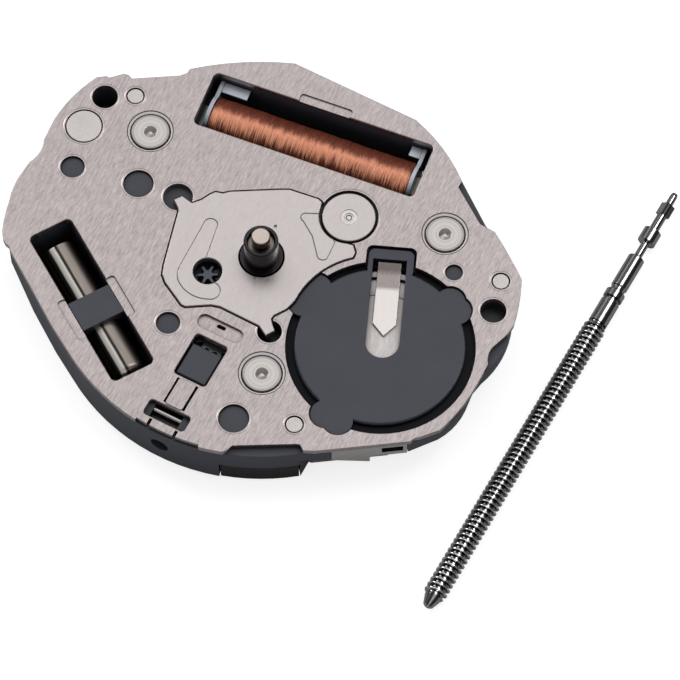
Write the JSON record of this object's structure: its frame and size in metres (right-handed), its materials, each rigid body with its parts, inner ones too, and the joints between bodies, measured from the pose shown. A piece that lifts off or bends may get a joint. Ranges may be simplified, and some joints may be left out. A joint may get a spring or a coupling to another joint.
{
  "type": "quartz watch movement",
  "caption": "Thin oval quartz watch movement seen dial side up, with coil, crystal, cell, hand pipe and gear train, and its long threaded setting stem lying beside it.",
  "frame": {"origin": "on the hand axis, level with the dial seat, which is the upper face of the dial-side plate", "axes": "+X towards three o'clock along the stem bore, +Y towards twelve o'clock over the cell, +Z out of the dial side"},
  "size_m": [0.0199, 0.0226, 0.0044],
  "materials": {
    "plate_steel": "brushed",
    "cover_steel": "satin",
    "bright_steel": "polished",
    "dark_plastic": "satin",
    "spacer_plastic": "satin",
    "pipe_black": "satin",
    "post_steel": "polished",
    "wheel_brass": "satin",
    "bush_brass": "satin",
    "slate_plastic": "satin",
    "copper_wire": "enamelled",
    "bobbin_plastic": "satin",
    "core_iron": "satin",
    "magnet": "satin",
    "can_chrome": "polished",
    "base_glass": "glossy",
    "board": "satin",
    "chip": "matt",
    "contact_steel": "satin",
    "cell_steel": "brushed",
    "gasket": "satin",
    "stem_steel": "polished"
  },
  "bodies": {
    "movement": {"dial_plate": "plate_steel", "motion_cover": "cover_steel", "main_plate": "dark_plastic", "back_cover": "plate_steel", "cover_screws": "bright_steel", "screw_pillars": "bright_steel", "guide_pins": "bright_steel", "flush_disc": "bright_steel", "side_clip": "bright_steel", "lower_spacer": "spacer_plastic", "cross_bar": "bright_steel", "train_bridge": "dark_plastic", "bridge_bushes": "bush_brass", "centre_tube": "bush_brass", "rotor_cap": "cover_steel", "rotor_bush": "bush_brass", "coil_winding": "copper_wire", "coil_bobbin": "bobbin_plastic", "coil_core": "core_iron", "stator": "core_iron", "crystal_can": "can_chrome", "crystal_base": "base_glass", "crystal_leads": "can_chrome", "circuit_board": "board", "circuit_chip": "chip", "contact_leaf": "contact_steel", "positive_contact": "contact_steel", "cell_cap": "cell_steel", "cell_gasket": "gasket", "cell_can": "cell_steel"},
    "hour_body": {"hour_wheel": "pipe_black"},
    "centre_body": {"minute_arbor": "post_steel", "centre_wheel": "wheel_brass"},
    "minute_body": {"minute_wheel": "slate_plastic"},
    "third_body": {"third_wheel": "wheel_brass", "third_arbor": "bright_steel"},
    "intermediate_body": {"intermediate_wheel": "wheel_brass", "intermediate_arbor": "bright_steel"},
    "rotor_body": {"rotor_magnet": "magnet", "rotor_arbor": "bright_steel"},
    "setting_body": {"setting_wheel": "core_iron"},
    "lever_body": {"setting_lever": "core_iron"},
    "yoke_body": {"yoke": "core_iron"},
    "clutch_body": {"clutch_wheel": "core_iron"},
    "stem_body": {"stem": "stem_steel"}
  },
  "joints": [
    {"name": "rotor_spin", "type": "hinge", "parent": "movement", "child": "rotor_body", "pos_m": [-0.00307, 0.00214, 0], "axis": [0, 0, 1], "continuous": true},
    {"name": "intermediate_spin", "type": "hinge", "parent": "movement", "child": "intermediate_body", "pos_m": [-0.00191, 0.00076, 0], "axis": [0, 0, 1], "continuous": true},
    {"name": "third_spin", "type": "hinge", "parent": "movement", "child": "third_body", "pos_m": [-0.00185, -0.0012, 0], "axis": [0, 0, 1], "continuous": true},
    {"name": "centre_spin", "type": "hinge", "parent": "movement", "child": "centre_body", "pos_m": [0, 0, 0], "axis": [0, 0, 1], "continuous": true},
    {"name": "minute_wheel_spin", "type": "hinge", "parent": "movement", "child": "minute_body", "pos_m": [0.0015, -0.00152, 0], "axis": [0, 0, 1], "continuous": true},
    {"name": "hour_spin", "type": "hinge", "parent": "movement", "child": "hour_body", "pos_m": [0, 0, 0], "axis": [0, 0, 1], "continuous": true},
    {"name": "setting_wheel_spin", "type": "hinge", "parent": "movement", "child": "setting_body", "pos_m": [0.00328, 0.00005, 0], "axis": [0, 0, 1], "continuous": true},
    {"name": "setting_lever_turn", "type": "hinge", "parent": "movement", "child": "lever_body", "pos_m": [0.00642, 0.00229, 0], "axis": [0, 0, 1], "range_deg": [0, 11.3]},
    {"name": "yoke_turn", "type": "hinge", "parent": "movement", "child": "yoke_body", "pos_m": [0.0041, -0.0018, 0], "axis": [0, 0, 1], "range_deg": [0, 10.5]},
    {"name": "clutch_slide", "type": "slide", "parent": "movement", "child": "clutch_body", "axis": [1, 0, 0], "range_m": [-0.00025, 0]},
    {"name": "stem_lift", "type": "slide", "parent": "movement", "child": "stem_body", "axis": [0, 0, 1], "range_m": [0, 0.02]}
  ],
  "couplings": [
    {"joint": "intermediate_spin", "follows": "rotor_spin", "ratio": -0.2},
    {"joint": "third_spin", "follows": "rotor_spin", "ratio": 0.033333},
    {"joint": "centre_spin", "follows": "rotor_spin", "ratio": -0.011111},
    {"joint": "minute_wheel_spin", "follows": "rotor_spin", "ratio": 0.0055556},
    {"joint": "hour_spin", "follows": "rotor_spin", "ratio": -0.00092593},
    {"joint": "setting_wheel_spin", "follows": "rotor_spin", "ratio": -0.0083333},
    {"joint": "setting_lever_turn", "follows": "clutch_slide", "rad_per_m": -788},
    {"joint": "yoke_turn", "follows": "clutch_slide", "rad_per_m": -729}
  ]
}
